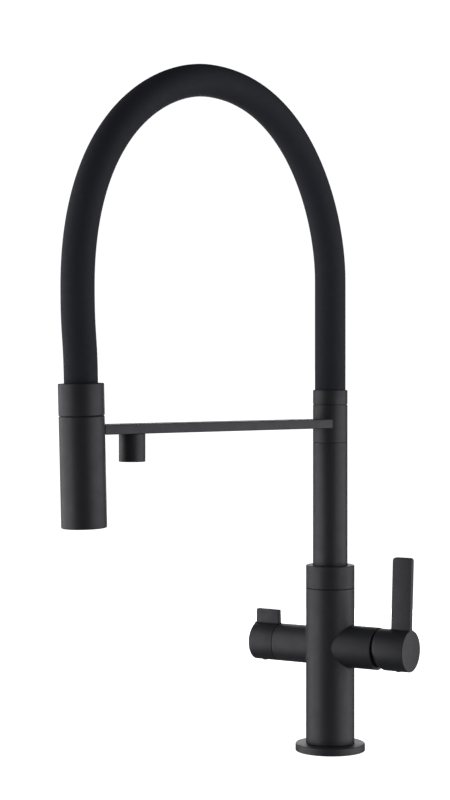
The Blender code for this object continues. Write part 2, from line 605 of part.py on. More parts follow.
def swept_tube(name, points, outer, inner, sides, kind, parent):
    """A tube along the route, open at both ends."""
    shape = bmesh.new()
    out = [circle_at(shape, points, index, outer, sides) for index in range(len(points))]
    back = [circle_at(shape, points, index, inner, sides) for index in reversed(range(len(points)))]
    skin(shape, out + back, closed=True)
    return from_bmesh(name, shape, kind, parent)


def support_spring(parent):
    """The open coil inside the sleeve, between the ferrules, that keeps the arch's shape."""
    per_turn, wire_sides = 6, 3
    points = stations(COIL_START, COIL_END, COIL_PITCH / per_turn)
    shape = bmesh.new()
    centres = []
    for index, point in enumerate(points):
        turn = 2 * pi * index / per_turn
        out = side_of(points, index) * cos(turn) + Vector((0, sin(turn), 0))
        centres.append(point + out * COIL_R)
    loops = []
    for index, centre in enumerate(centres):
        ahead = (centres[min(index + 1, len(centres) - 1)] - centres[max(index - 1, 0)]).normalized()
        out = (centre - points[index]).normalized()
        across = ahead.cross(out).normalized()
        out = across.cross(ahead)
        loops.append([shape.verts.new(centre + (out * cos(2 * pi * step / wire_sides)
                                                + across * sin(2 * pi * step / wire_sides)) * WIRE_R)
                      for step in range(wire_sides)])
    skin(shape, loops)
    for loop in (loops[0], loops[-1]):
        shape.faces.new(loop)
    return from_bmesh("hose_support_spring", shape, "steel", parent)


def make_hose(arm):
    seat_r, sleeve_seat_r, floor_r, edge = 11.9, SLEEVE_R + 0.35, 9.4, 0.5
    floor_low, floor_top = 280.6, SLEEVE_START - 0.7
    turned("hose_coupling_ring",
           [(seat_r, COUPLING_LOW), (RISER_R, COUPLING_LOW), (RISER_R, COUPLING_TOP - edge),
            (RISER_R - edge, COUPLING_TOP), (sleeve_seat_r, COUPLING_TOP), (sleeve_seat_r, floor_top),
            (floor_r, floor_top), (floor_r, floor_low), (seat_r, floor_low)], "black_coat", arm, FINE)
    hose_low, foot_low, foot_top, neck_r, barb_top = 290.0, 277.0, floor_low - GAP, 8.8, 305.0
    socket_r, socket_top = NIPPLE_R + GAP, 288.4
    turned("hose_inlet_fitting",
           [(socket_r, foot_low), (seat_r - 0.4, foot_low), (seat_r - 0.4, foot_top), (neck_r, foot_top),
            (neck_r, hose_low - GAP), (BARB_R, hose_low - GAP), (BARB_R, barb_top), (BARB_BORE, barb_top),
            (BARB_BORE, socket_top), (socket_r, socket_top)], "brass", arm)
    turned("hose_inlet_ferrule", ring(HOSE_R + GAP, FERRULE_R, hose_low, barb_top - 0.5), "steel", arm)
    swept_tube("hose_sleeve", whole_route(SLEEVE_START, SLEEVE_END), SLEEVE_R, SLEEVE_BORE, 12,
               "silicone", arm)
    swept_tube("inner_hose", whole_route(hose_low, HOSE_END), HOSE_R, HOSE_BORE, 6, "grey_plastic", arm)
    support_spring(arm)


# ---------------------------------------------------------------------------------- spray head

def make_hose_end(head):
    low, shoulder, shoulder_top, barb_top = 250.0, 273.0, HOSE_END - GAP, 295.0
    nipple_r, shoulder_r, groove_at, groove_r, section_r = 6.0, 9.6, 256.0, 4.4, 0.6
    outline = grooved([(BARB_BORE, low), (nipple_r, low)], nipple_r, groove_r, 1.0, (groove_at,))
    turned("hose_outlet_fitting",
           outline + [(nipple_r, shoulder), (shoulder_r, shoulder), (shoulder_r, shoulder_top),
                      (BARB_R, shoulder_top), (BARB_R, barb_top), (BARB_BORE, barb_top)], "brass", head)
    turned("hose_outlet_ferrule", ring(HOSE_R + GAP, FERRULE_R, HOSE_END, barb_top - 0.5), "steel", head)
    o_ring("nipple_o_ring", groove_r + GAP + section_r, section_r, groove_at, head)


def make_head(head):
    spigot_low, spigot_r, nut_r, sleeve_seat_r = 266.6, HEAD_BORE - GAP, 10.0, SLEEVE_R + 0.65
    web_low, web_top, web_r, edge = HOSE_END + 0.1, SLEEVE_END - GAP, 8.4, 0.6
    turned("spray_collar",
           [(nut_r, spigot_low), (spigot_r, spigot_low), (spigot_r, HEAD_COLLAR_LOW),
            (HEAD_COLLAR_R, HEAD_COLLAR_LOW), (HEAD_COLLAR_R, HEAD_COLLAR_TOP - edge),
            (HEAD_COLLAR_R - edge, HEAD_COLLAR_TOP), (sleeve_seat_r, HEAD_COLLAR_TOP),
            (sleeve_seat_r, web_top), (web_r, web_top), (web_r, web_low), (nut_r, web_low)],
           "black_coat", head, FINE)
    turned("spray_body", [(HEAD_BORE, HEAD_LOW), (HEAD_R - edge, HEAD_LOW), (HEAD_R, HEAD_LOW + edge),
                          (HEAD_R, HEAD_TOP), (HEAD_BORE, HEAD_TOP)], "black_coat", head, FINE)
    turned("head_keeper_ring", ring(11.6, 13.6, 253.0, 266.0), "steel", head)
    core_r, core_low, core_step, step_r, core_top = 13.2, 199.0, 252.5, 11.2, 262.0
    way_r, socket_r, socket_low = 4.0, 6.3, 248.0
    turned("spray_core", [(way_r, core_low), (core_r, core_low), (core_r, core_step), (step_r, core_step),
                          (step_r, core_top), (socket_r, core_top), (socket_r, socket_low),
                          (way_r, socket_low)], "grey_plastic", head)
    face_low, face_top, jet_r = HEAD_LOW + 1.2, core_low - 0.5, 5.4
    face = turned("spray_face", ring(jet_r + 0.4, core_r + 0.4, face_low, face_top), "grey_plastic", head)
    cut(face, bores("spray_holes_cut", disc(SPRAY_R, HEAD_LOW, face_top + 1.5), head, sides=TINY,
                    places=around(SPRAY_HOLES, SPRAY_CIRCLE)))
    turned("jet_aerator", disc(jet_r, HEAD_LOW + 0.8, face_top - 0.5), "steel", head)


# ---------------------------------------------------------------------------------- whole tap

def main():
    clear_scene()
    make_base()
    make_inlets()
    make_manifold()
    make_body()

    mixer_axis = empty("mixer_axis", at=(0, 0, MIXER_Z), turn=(0, 90, 0))
    mixer_tilt = empty("mixer_tilt", mixer_axis, (0, 0, TILT_PIVOT))
    make_mixer(mixer_axis, mixer_tilt)
    make_filter_valve(empty("filter_axis", at=(0, 0, FILTER_Z), turn=(0, -90, 0)))

    spout_axis = empty("spout_axis", turn=(0, 0, -90 - SPOUT_SWING))
    make_riser(spout_axis)
    arm_axis = empty("arm_axis", spout_axis)
    dock_point = empty("dock_point", arm_axis, (REACH, 0, ARM_MID), (0, HEAD_LEAN, 0))
    head_axis = empty("head_axis", dock_point, (0, 0, -ARM_MID))
    make_arm(arm_axis, head_axis)
    make_hose(arm_axis)
    make_hose_end(head_axis)
    make_head(head_axis)


main()
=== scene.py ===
"""Looks of a semi-professional kitchen tap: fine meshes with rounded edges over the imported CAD
frame, procedural materials for every piece, and a soft white studio.

Lengths are in millimetres and become metres by MM, apart from the studio's, which are in metres.
A piece on another axis than the frame's own Z is drawn about its local Z and put in place by one
of the matrices under "places". Sizes that the CAD frame holds are measured from its nodes.
"""

import json
from collections import namedtuple
from math import acos, asin, atan2, cos, inf, pi, radians, sin, sqrt, tan

import bmesh
import bpy
from mathutils import Matrix, Vector
from mathutils.geometry import interpolate_bezier


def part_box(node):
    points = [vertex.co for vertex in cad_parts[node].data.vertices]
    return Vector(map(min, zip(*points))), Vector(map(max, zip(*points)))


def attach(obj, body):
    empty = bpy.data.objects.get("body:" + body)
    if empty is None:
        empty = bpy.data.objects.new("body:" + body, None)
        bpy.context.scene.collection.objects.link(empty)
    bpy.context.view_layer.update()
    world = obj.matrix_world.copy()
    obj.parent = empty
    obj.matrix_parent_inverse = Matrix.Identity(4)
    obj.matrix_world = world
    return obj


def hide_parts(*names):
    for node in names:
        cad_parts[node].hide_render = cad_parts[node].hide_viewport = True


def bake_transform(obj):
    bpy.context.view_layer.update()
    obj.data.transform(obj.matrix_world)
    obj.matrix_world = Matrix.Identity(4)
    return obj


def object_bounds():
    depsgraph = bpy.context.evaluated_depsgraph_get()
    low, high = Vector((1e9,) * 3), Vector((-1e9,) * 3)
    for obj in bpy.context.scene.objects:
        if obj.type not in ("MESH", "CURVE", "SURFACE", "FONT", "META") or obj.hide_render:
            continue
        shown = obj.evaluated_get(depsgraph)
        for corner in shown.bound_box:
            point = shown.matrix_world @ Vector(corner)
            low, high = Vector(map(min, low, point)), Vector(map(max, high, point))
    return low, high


MM = 0.001
GAP = 0.3                       # clearance between neighbouring pieces, as in the CAD
TRACE = 0.01                    # added to a radius so that points on it are still measured
SEAM_COVER = 0.2                # how far the riser and the collar close the seam above them
FINE, ROUND, SMALL, TINY = 96, 48, 24, 16  # sides of rounds, by their size
ARC_STEPS = 4                   # segments of a rounded corner
SHARP_ANGLE = radians(32)       # edges that turn by more are drawn sharp

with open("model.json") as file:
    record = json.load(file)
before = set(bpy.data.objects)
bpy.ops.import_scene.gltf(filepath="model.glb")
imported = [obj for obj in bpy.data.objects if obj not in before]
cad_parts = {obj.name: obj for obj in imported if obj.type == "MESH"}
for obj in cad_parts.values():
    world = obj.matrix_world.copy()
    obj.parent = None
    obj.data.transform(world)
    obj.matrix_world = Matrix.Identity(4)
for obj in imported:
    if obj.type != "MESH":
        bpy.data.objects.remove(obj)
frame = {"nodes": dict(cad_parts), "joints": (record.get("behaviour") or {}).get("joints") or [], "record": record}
cad_low, cad_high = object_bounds()


# ---------------------------------------------------------------------------------- measuring

Round = namedtuple("Round", "outer inner low high")


def box(node):
    """Lowest and highest corner of a CAD node in millimetres."""
    low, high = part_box(node)
    return low / MM, high / MM


def measure(node, place=Matrix(), within=inf):
    """Radii and heights of a CAD node, as far as a radius, about the local Z axis of a place."""
    inverse = place.inverted()
    points = [inverse @ (vert.co / MM) for vert in frame["nodes"][node].data.vertices]
    points = [point for point in points if point.xy.length < within]
    radii = [point.xy.length for point in points]
    heights = [point.z for point in points]
    return Round(max(radii), min(radii), min(heights), max(heights))


# ---------------------------------------------------------------------------------- places

def middle(node):
    """Height of the middle of a CAD node."""
    low, high = box(node)
    return (low.z + high.z) / 2


swivel = next(joint for joint in frame["joints"] if joint["name"] == "head_swivel")
head_axis, head_at = Vector(swivel["axis"]), Vector(swivel["pos_m"]) / MM
ARM_MID = middle("dock_arm")
MIXER_Z, FILTER_Z = middle("mixer_fixed_disc"), middle("filter_fixed_disc")
dock_at = head_at + head_axis * (ARM_MID - head_at.z) / head_axis.z
REACH, LEAN = dock_at.xy.length, atan2(head_axis.xy.length, head_axis.z)
outlet_low, outlet_high = box("filter_outlet")
OUTLET_AT = ((outlet_low + outlet_high) / 2).xy.length

UPRIGHT = Matrix()
MIXER = Matrix.Translation((0, 0, MIXER_Z)) @ Matrix.Rotation(pi / 2, 4, "Y")
FILTER = Matrix.Translation((0, 0, FILTER_Z)) @ Matrix.Rotation(-pi / 2, 4, "Y")
ARM = Matrix.Rotation(atan2(dock_at.y, dock_at.x), 4, "Z")
DOCK = ARM @ Matrix.Translation((REACH, 0, ARM_MID)) @ Matrix.Rotation(LEAN, 4, "Y")
HEAD = DOCK @ Matrix.Translation((0, 0, -ARM_MID))
OUTLET = ARM @ Matrix.Translation((OUTLET_AT, 0, 0))


# ---------------------------------------------------------------------------------- materials

Look = namedtuple("Look", "colour cloud_colour metallic rough grain bump stretch specular")
EVEN, DRAWN, BRUSHED = (1, 1, 1), (1, 1, 5), (1, 1, 14)  # how much finer the grain is along Z
LOOKS = {  # grain is its size in millimetres, bump its depth
    "black_coat": Look((0.0125, 0.0129, 0.0182), (0.0160, 0.0164, 0.0222),
                       0, (0.46, 0.55), 0.30, 0.006, EVEN, 0.42),
    "silicone": Look((0.0210, 0.0219, 0.0298), (0.0238, 0.0247, 0.0326),
                     0, (0.74, 0.84), 0.22, 0.004, EVEN, 0.17),
    "brass": Look((0.68, 0.47, 0.20), (0.76, 0.57, 0.29),
                  1, (0.22, 0.36), 0.35, 0.006, BRUSHED, 0.5),
    "steel": Look((0.56, 0.56, 0.57), (0.66, 0.66, 0.66),
                  1, (0.20, 0.34), 0.30, 0.005, BRUSHED, 0.5),
    "rubber": Look((0.016, 0.016, 0.016), (0.028, 0.028, 0.027),
                   0, (0.70, 0.88), 0.50, 0.020, EVEN, 0.35),
    "white_plastic": Look((0.74, 0.74, 0.70), (0.80, 0.80, 0.78),
                          0, (0.36, 0.50), 0.45, 0.008, EVEN, 0.5),
    "grey_plastic": Look((0.20, 0.21, 0.23), (0.27, 0.28, 0.30),
                         0, (0.42, 0.56), 0.40, 0.010, EVEN, 0.45),
    "black_plastic": Look((0.022, 0.022, 0.022), (0.030, 0.030, 0.030),
                          0, (0.45, 0.60), 0.40, 0.010, EVEN, 0.4),
    "ceramic": Look((0.86, 0.84, 0.79), (0.90, 0.88, 0.85),
                    0, (0.16, 0.26), 0.60, 0.003, EVEN, 0.5),
    "magnet": Look((0.32, 0.32, 0.34), (0.40, 0.40, 0.41),
                   1, (0.28, 0.42), 0.55, 0.006, EVEN, 0.5),
    "copper": Look((0.76, 0.40, 0.25), (0.70, 0.36, 0.24),
                   1, (0.24, 0.40), 0.50, 0.006, DRAWN, 0.5),
}
CLOUD_SIZE = 45.0               # size of the soft patches of colour
SMEAR_SIZE = 25                 # size of the patches of gloss, in sizes of the grain


def noise(tree, source, size, detail):
    """A noise texture whose features have a size in millimetres."""
    made = tree.nodes.new("ShaderNodeTexNoise")
    made.inputs["Scale"].default_value = 1 / (size * MM)
    made.inputs["Detail"].default_value = detail
    made.inputs["Roughness"].default_value = 0.6
    tree.links.new(source, made.inputs["Vector"])
    return made.outputs["Fac"]


def spread(tree, source, low, high, margin=0.3):
    """Map a noise's usual range onto two values."""
    made = tree.nodes.new("ShaderNodeMapRange")
    made.inputs["From Min"].default_value = margin
    made.inputs["From Max"].default_value = 1 - margin
    made.inputs["To Min"].default_value = low
    made.inputs["To Max"].default_value = high
    tree.links.new(source, made.inputs["Value"])
    return made.outputs["Result"]


def make_material(slot, look):
    """Soft patches of colour, a finer change of gloss, and a grain in the surface."""
    material = bpy.data.materials.new(slot)
    material.use_nodes = True
    tree = material.node_tree
    shader = tree.nodes["Principled BSDF"]
    shader.inputs["Metallic"].default_value = look.metallic
    shader.inputs["Specular IOR Level"].default_value = look.specular

    place = tree.nodes.new("ShaderNodeTexCoord").outputs["Object"]
    mapping = tree.nodes.new("ShaderNodeMapping")
    mapping.inputs["Scale"].default_value = look.stretch
    tree.links.new(place, mapping.inputs["Vector"])
    cloud = noise(tree, place, CLOUD_SIZE, 4)
    grain = noise(tree, mapping.outputs["Vector"], look.grain, 3)
    smear = noise(tree, mapping.outputs["Vector"], look.grain * SMEAR_SIZE, 5)

    mix = tree.nodes.new("ShaderNodeMix")
    mix.data_type = "RGBA"
    mix.inputs["A"].default_value = (*look.colour, 1)
    mix.inputs["B"].default_value = (*look.cloud_colour, 1)
    tree.links.new(spread(tree, cloud, 0, 1), mix.inputs["Factor"])
    tree.links.new(mix.outputs["Result"], shader.inputs["Base Color"])
    tree.links.new(spread(tree, smear, *look.rough), shader.inputs["Roughness"])

    bump = tree.nodes.new("ShaderNodeBump")
    bump.inputs["Strength"].default_value = 1.0
    bump.inputs["Distance"].default_value = look.bump * MM
    tree.links.new(grain, bump.inputs["Height"])
    tree.links.new(bump.outputs["Normal"], shader.inputs["Normal"])
    return material


MATERIALS = {slot: make_material(slot, look) for slot, look in LOOKS.items()}


def finish_frame():
    """Give every CAD node the material of its slot."""
    for part in frame["record"]["subparts"]:
        node = frame["nodes"][part["node"]]
        node.data.materials.clear()
        node.data.materials.append(MATERIALS[part["material_slot"]])


# ---------------------------------------------------------------------------------- mesh tools

def rounded(corners):
    """Outline points, where a corner (x, y, radius) becomes an arc and (x, y) stays sharp."""
    points = []
    for index, (x, y, *rounding) in enumerate(corners):
        here = Vector((x, y))
        if not rounding:
            points.append(here)
            continue
        radius = rounding[0]
        back = (Vector(corners[index - 1][:2]) - here).normalized()
        ahead = (Vector(corners[(index + 1) % len(corners)][:2]) - here).normalized()
        half = acos(max(-1, min(1, back.dot(ahead)))) / 2
        centre = here + (back + ahead).normalized() * radius / sin(half)
        first = here + back * radius / tan(half) - centre
        last = here + ahead * radius / tan(half) - centre
        for step in range(ARC_STEPS + 1):
            share = step / ARC_STEPS
            ray = first.normalized().slerp(last.normalized(), share)
            points.append(centre + ray * radius)
    return points


def drop_mesh(shape):
    """A mesh in metres from a bmesh in millimetres, with smooth rounds and sharp edges."""
    bmesh.ops.remove_doubles(shape, verts=shape.verts, dist=1e-4)
    bmesh.ops.recalc_face_normals(shape, faces=shape.faces)
    bmesh.ops.scale(shape, vec=(MM, MM, MM), verts=shape.verts)
    mesh = bpy.data.meshes.new("piece")
    shape.to_mesh(mesh)
    shape.free()
    mesh.shade_smooth()
    mesh.set_sharp_from_angle(angle=SHARP_ANGLE)
    return mesh


def piece(name, shape, slot, body, stands_for, place=UPRIGHT, cutters=(), additions=()):
    """A finished piece in the row frame that rides on a body and stands for some CAD nodes.

    Cutters and additions are bmeshes in the same local frame, taken away from it or joined to it.
    """
    shape.transform(place)
    made = bpy.data.objects.new(name, drop_mesh(shape))
    bpy.context.scene.collection.objects.link(made)
    for operation, tools in (("UNION", additions), ("DIFFERENCE", cutters)):
        for tool in tools:
            tool.transform(place)
            boolean(made, drop_mesh(tool), operation)
    made.data.materials.clear()
    made.data.materials.append(MATERIALS[slot])
    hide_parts(*stands_for)
    if body:
        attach(made, body)
    return made


def boolean(made, tool_mesh, operation):
    """Apply one Boolean step and drop the tool."""
    tool = bpy.data.objects.new("tool", tool_mesh)
    bpy.context.scene.collection.objects.link(tool)
    step = made.modifiers.new("step", "BOOLEAN")
    step.operation = operation
    step.object = tool
    bpy.context.view_layer.update()
    evaluated = made.evaluated_get(bpy.context.evaluated_depsgraph_get())
    result = bpy.data.meshes.new_from_object(evaluated)
    made.modifiers.clear()
    made.data = result
    result.shade_smooth()
    result.set_sharp_from_angle(angle=SHARP_ANGLE)
    bpy.data.objects.remove(tool)


def spun(shape, outline, sides, centre=(0, 0)):
    """Turn an outline about an upright axis; one that starts and ends on the axis is solid."""
    x, y = centre
    points = [shape.verts.new((x + radius, y, height)) for radius, height in outline]
    edges = [shape.edges.new(pair) for pair in zip(points, points[1:])]
    if outline[0][0] > 0 or outline[-1][0] > 0:
        edges.append(shape.edges.new((points[-1], points[0])))
    bmesh.ops.spin(shape, geom=points + edges, cent=(x, y, 0), axis=(0, 0, 1), angle=2 * pi,
                   steps=sides, use_merge=True, use_duplicate=False)
    return shape


def turned(name, corners, slot, body, stands_for, place=UPRIGHT, sides=FINE, cutters=()):
    """A finished piece, turned from the corners (radius, height, rounding) of its section."""
    shape = spun(bmesh.new(), rounded(corners), sides)
    return piece(name, shape, slot, body, stands_for, place, cutters)


def rod(radius, low, high, sides=SMALL, centres=((0, 0),)):
    """Plain round cutters side by side."""
    shape = bmesh.new()
    for centre in centres:
        spun(shape, [(0, low), (radius, low), (radius, high), (0, high)], sides, centre)
    return shape


def skin(shape, loops, closed=False):
    """Faces between neighbouring closed loops of vertices."""
    pairs = list(zip(loops, loops[1:]))
    if closed:
        pairs.append((loops[-1], loops[0]))
    for one, other in pairs:
        for step in range(len(one)):
            after = (step + 1) % len(one)
            shape.faces.new((one[step], one[after], other[after], other[step]))


def loft(shape, loops):
    """A solid through loops of points, closed at both ends."""
    made = [[shape.verts.new(point) for point in loop] for loop in loops]
    skin(shape, made)
    shape.faces.new(made[0])
    shape.faces.new(made[-1])
    return shape


def turns(count):
    """Angles that share out a full turn."""
    return [2 * pi * step / count for step in range(count)]


def around(count, radius):
    """Points (x, y) that share out a circle."""
    return [(radius * cos(turn), radius * sin(turn)) for turn in turns(count)]


# ---------------------------------------------------------------------------------- base and body

Stub = namedtuple("Stub", "radius bore end height turn")
BORE_R = measure("manifold_block").outer + GAP
MIXER_STUB_R, MIXER_BORE_R = 16.7, 14.2  # the filter's stub is as thick as its knob
FILTER_BORE_R = 12.4
HANDLE_R, KNOB_R, SCREW_R = 16.3, 15.0, 2.4
MIXER_PADDLE_LOW = 55.3         # where along the valve's axis the paddle's inner face is
WELD = 1.2                      # fillet where a stub meets the body
BODY_EDGE, BODY_SEAM = 0.35, 0.1  # roundings of the body at its foot and under its top ring
LOOP = 112                      # points round a stub and along the border of its half of the body
PATCH_STEPS = 10                # rings of faces between a stub and that border
LOOP_TURNS = turns(LOOP)


def make_base():
    """The flange with the groove of its seal, and the ring on top of the body."""
    flange, seal = measure("base_flange"), measure("flange_seal")
    groove_low, groove_high, groove_top = seal.inner - GAP, seal.outer + GAP, seal.high + GAP
    turned("flange", [(flange.inner, 0), (groove_low, 0), (groove_low, groove_top),
                      (groove_high, groove_top), (groove_high, 0), (flange.outer, 0, 0.3),
                      (flange.outer, flange.high, 0.8), (flange.inner, flange.high)],
           "black_coat", "tap_body", ["base_flange"])

    ring, bush = measure("body_top_ring"), measure("swivel_bush")
    seat, lip_low = bush.outer + GAP, bush.high + GAP
    turned("body_ring", [(seat, ring.low), (ring.outer, ring.low, BODY_SEAM),
                         (ring.outer, ring.high, 0.8), (ring.inner, ring.high, 0.4),
                         (ring.inner, lip_low), (seat, lip_low)],
           "black_coat", "tap_body", ["body_top_ring"])


def border(step, low, high):
    """A point of a half cylinder's border: its angle and height, a quarter of LOOP to each side."""
    quarter = LOOP // 4
    side, share = divmod((step + quarter // 2) % LOOP, quarter)
    share /= quarter
    return ((pi / 2, low + (high - low) * share), (pi / 2 - pi * share, high),
            (-pi / 2, high - (high - low) * share), (-pi / 2 + pi * share, low))[side]


def patch(radius, edge, low, high):
    """Loops over a half cylinder, from its border to an edge of points that lie on it."""
    loops = []
    for ring in range(PATCH_STEPS):
        share = ring / PATCH_STEPS
        loop = []
        for step, point in enumerate(edge):
            angle, height = border(step, low, high)
            angle += (asin(point.y / radius) - angle) * share
            height += (point.z - height) * share
            loop.append(Vector((radius * cos(angle), radius * sin(angle), height)))
        loops.append(loop)
    return loops


def weld(body_r, stub, fillet):
    """Loops over the rolling-ball fillet between the body and a stub along +X."""
    loops = [[] for _ in range(ARC_STEPS + 1)]
    for turn in LOOP_TURNS:
        y, z = (stub.radius + fillet) * cos(turn), (stub.radius + fillet) * sin(turn)
        x = sqrt((body_r + fillet) ** 2 - y ** 2)
        ball = Vector((x, y, z))
        to_body = Vector((-x, -y, 0)).normalized()
        to_stub = Vector((0, -y, -z)).normalized()
        for index, loop in enumerate(loops):
            ray = to_body.slerp(to_stub, index / ARC_STEPS)
            loop.append(ball + ray * fillet + Vector((0, 0, stub.height)))
    return loops


def half_body(shape, stub, low, high, shell_r):
    """Half of the body with its stub, as one sheet from the outer border to the bore's border."""
    seam = weld(shell_r, stub, WELD)
    loops = patch(shell_r, seam[0], low, high) + seam
    rim = rounded([(stub.radius, 0), (stub.radius, stub.end, 0.4), (stub.bore, stub.end, 0.4),
                   (stub.bore, 0)])[1:-1]
    for radius, x in rim:
        loops.append([Vector((x, radius * cos(turn), stub.height + radius * sin(turn)))
                      for turn in LOOP_TURNS])
    loops.append([Vector((sqrt(BORE_R ** 2 - (stub.bore * cos(turn)) ** 2), stub.bore * cos(turn),
                          stub.height + stub.bore * sin(turn))) for turn in LOOP_TURNS])
    loops += patch(BORE_R, loops[-1], low, high)[::-1]
    turn = Matrix.Rotation(stub.turn, 3, "Z")
    skin(shape, [[shape.verts.new(turn @ point) for point in loop] for loop in loops])


def make_body():
    """The body as two halves that share their borders, closed by a rim below and one above."""
    low, high = box("body_shell")
    shell_r = measure("body_top_ring").outer
    shape = bmesh.new()
    for stub in (Stub(MIXER_STUB_R, MIXER_BORE_R, high.x, MIXER_Z, 0),
                 Stub(KNOB_R, FILTER_BORE_R, -low.x, FILTER_Z, pi)):
        half_body(shape, stub, low.z + BODY_EDGE, high.z - BODY_EDGE, shell_r)
    for level, border_z, rounding in ((low.z, low.z + BODY_EDGE, BODY_EDGE),
                                      (high.z, high.z - BODY_EDGE, BODY_SEAM)):
        rim = rounded([(shell_r, border_z), (shell_r, level, rounding), (BORE_R, level),
                       (BORE_R, border_z)])[1:]
        skin(shape, [[shape.verts.new((radius * sin(turn), radius * cos(turn), z))
                      for turn in turns(LOOP // 2)] for radius, z in rim])
    piece("tap_body", shape, "black_coat", "tap_body", ["body_shell"])


# ---------------------------------------------------------------------------------- levers

FILLET_STEPS, PLATE_STEPS, CORNER_STEPS = 5, 3, 8  # levels of a paddle: foot, middle, tip
RIM_BACK = 0.4                  # cosine of the turn from local +X at which a rim is fully back


def paddle(axis_z, foot_r, half, left, right, tip, corner, flare, taper=1.0, lean=0.0):
    """An upright plate on a lying cylinder, with a fillet at its foot and rounded upper corners.

    It is drawn in the row frame from left to right along X, half its thickness to each side of
    the valve's axis. Heights are above that axis: tip is the upper end's, corner the radius of
    its corners, and flare the radius of the fillet. Taper is the thickness at the tip against
    that at the foot, and lean is how far the tip stands to the right of the foot.
    """
    edge, overlap, sunk = 0.5, 1.0, 0.12
    foot_y = half + flare
    foot_z = sqrt((foot_r + flare) ** 2 - foot_y ** 2)
    touch = foot_z * foot_r / (foot_r + flare) - sunk
    levels = []
    for step in range(FILLET_STEPS + 1):
        height = touch + (foot_z - touch) * step / FILLET_STEPS
        grow = flare - sqrt(max(0, flare ** 2 - (foot_z - height) ** 2))
        levels.append((height, half + grow, left - grow, right))
    levels.insert(0, (touch - overlap, *levels[0][1:]))
    for step in range(1, PLATE_STEPS + 1):
        height = foot_z + (tip - corner - foot_z) * step / PLATE_STEPS
        levels.append((height, half, left, right))
    for step in range(1, CORNER_STEPS + 1):
        turn = pi / 2 * step / CORNER_STEPS
        pulled = corner * (1 - cos(turn))
        height = tip - corner + corner * sin(turn)
        near = max(0, height - tip + edge)
        thick = half - edge + sqrt(edge ** 2 - near ** 2)
        levels.append((height, thick, left + pulled, right - pulled))

    loops = []
    for height, thick, start, end in levels:
        share = max(0, (height - foot_z) / (tip - foot_z))
        thick *= 1 + (taper - 1) * share
        start, end = start + lean * share, end + lean * share
        round_r = min(edge, thick * 0.9)
        section = rounded([(start, -thick, round_r), (end, -thick, round_r),
                           (end, thick, round_r), (start, thick, round_r)])
        loops.append([Vector((point.x, point.y, height + axis_z)) for point in section])
    return loft(bmesh.new(), loops)


def lever(side, node, place, radius, wall, stem_r, hub_at, roof, chamfer, fade, reach, plate):
    """A handle cup with its paddle, its hub on the stem, the hole of its screw and its plug.

    Heights run along the valve's axis: the hub starts at hub_at, and the stem's hole ends at
    roof. The chamfer (deep, long) of the rim has its full size at local +X, and is smaller
    opposite by the share fade. The rim reaches out further, by the length reach, except near +X.
    """
    cup = measure(node, place, radius + TRACE)
    hub_r, rim = stem_r + GAP, cup.low + reach
    shape = bmesh.new()
    loops = []
    for x, y in around(FINE, 1):
        share = 1 - fade * (1 - x) / 2
        deep, long = chamfer[0] * share, chamfer[1] * share
        low = rim - reach * min(1, max(0, 1 - x / RIM_BACK))
        outline = rounded([(0, roof), (hub_r, roof), (hub_r, hub_at), (radius - wall, hub_at),
                           (radius - wall, rim), (radius - deep, low, deep / 8),
                           (radius, low + long, long / 8), (radius, cup.high, 0.7), (0, cup.high)])
        loops.append([shape.verts.new((out * x, out * y, height)) for out, height in outline])
    for one, other in zip(loops, loops[1:] + loops[:1]):
        for step in range(len(one) - 1):
            shape.faces.new((one[step], one[step + 1], other[step + 1], other[step]))
    plate.transform(place.inverted())

    low, high = box(side + "_screw_cap")
    screw_x, beyond = (low.x + high.x) / 2, 3
    hole = rod(SCREW_R + GAP, -radius - beyond, -hub_r)
    hole.transform(place.inverted() @ Matrix.Translation((screw_x, 0, place.translation.z)))
    piece(side + "_lever", shape, "black_coat", side + "_lever", [node], place, [hole], [plate])
    turned(side + "_hole_plug", [(0, low.z), (SCREW_R, low.z, 0.9), (SCREW_R, high.z), (0, high.z)],
           "black_coat", side + "_lever", [side + "_screw_cap"],
           Matrix.Translation((screw_x, 0, 0)), SMALL)


def make_levers():
    """The mixer's handle on the right and the filter valve's knob on the left."""
    cup = measure("mixer_handle", MIXER, HANDLE_R + TRACE)
    plate = paddle(MIXER_Z, HANDLE_R, half=2.3, left=MIXER_PADDLE_LOW, right=cup.high - 0.1,
                   tip=box("mixer_handle")[1].z - MIXER_Z, corner=2.6, flare=1.5, lean=1.5)
    lever("mixer", "mixer_handle", MIXER, HANDLE_R, wall=2.0, stem_r=4.0, hub_at=cup.low + 6.4,
          roof=66.3, chamfer=(1.6, 4.0), fade=0.9, reach=1.9, plate=plate)

    knob = measure("filter_knob", FILTER)
    plate = paddle(FILTER_Z, KNOB_R, half=2.4, left=0.03 - knob.high, right=-knob.low - 0.3,
                   tip=box("filter_knob")[1].z - FILTER_Z, corner=0.9, flare=1.2, taper=0.8)
    lever("filter", "filter_knob", FILTER, KNOB_R, wall=2.3, stem_r=3.3, hub_at=52.0,
          roof=64.3, chamfer=(0.2, 0.2), fade=0, reach=0, plate=plate)


# ---------------------------------------------------------------------------------- riser and arm

CHANNEL_R, CHANNEL_LOW, CHANNEL_HIGH = 11.4, 255.0, 261.0  # filtered water's ring in the collar
PORT_R, PORT_START, PORT_END, PORT_DROP = 1.5, 10.8, 16.8, 1.7  # from that ring towards the arm
BORE_IN_BAR_R, BORE_START, BORE_END = 2.8, 11, 25  # the start of the bar's water channel
COUPLING_FLOOR = 280.6          # underside of the floor that the sleeve stands on
ARM_HALF = 11.6                 # half the width of the flat bar
BAR_EDGE = 0.45                 # rounding of its long edges
POCKET_END = REACH - 15         # where the magnet's pocket is open to the head
HOLLOW_STEPS = 10               # points from the middle of a hollow end to its edge


